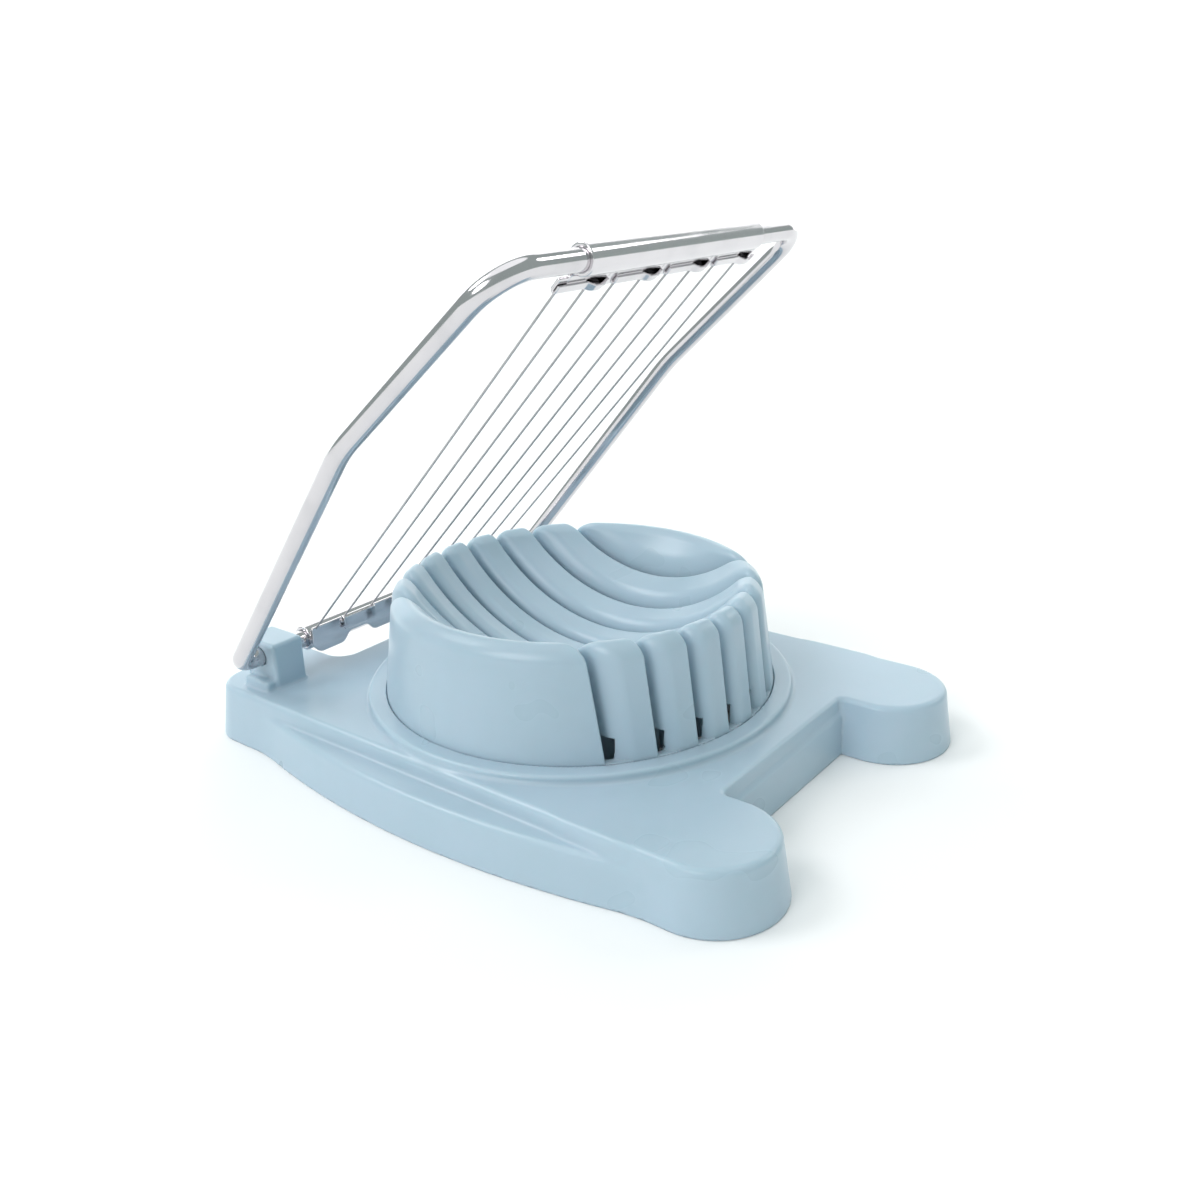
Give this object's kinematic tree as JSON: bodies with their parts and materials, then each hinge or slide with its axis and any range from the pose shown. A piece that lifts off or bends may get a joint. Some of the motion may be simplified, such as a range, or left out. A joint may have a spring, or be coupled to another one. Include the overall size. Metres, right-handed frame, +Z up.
{
  "type": "egg slicer",
  "caption": "Egg slicer with a slotted egg cup on a moulded tray and a hinged bow of bent rod that carries taut cutting wires.",
  "frame": {"origin": "middle of the tray on the table, under the middle of the egg cup", "axes": "X along the hinge, the two feet point to -Y, the hinge is at +Y, Z up"},
  "size_m": [0.098, 0.1249, 0.0957],
  "materials": {
    "moulded_plastic": "satin",
    "polished_rod": "polished",
    "folded_sheet": "polished",
    "cutting_wire": "drawn"
  },
  "bodies": {
    "base": {"tray": "moulded_plastic", "egg_cup": "moulded_plastic"},
    "wire_frame": {"bow": "polished_rod", "upper_carrier": "folded_sheet", "lower_carrier": "folded_sheet", "wire_1": "cutting_wire", "wire_2": "cutting_wire", "wire_3": "cutting_wire", "wire_4": "cutting_wire", "wire_5": "cutting_wire", "wire_6": "cutting_wire", "wire_7": "cutting_wire", "wire_8": "cutting_wire"}
  },
  "joints": [
    {"name": "bow_hinge", "type": "hinge", "parent": "base", "child": "wire_frame", "pos_m": [0, 0.0508, 0.01697], "axis": [1, 0, 0], "range_deg": [-141, 47.7]}
  ]
}
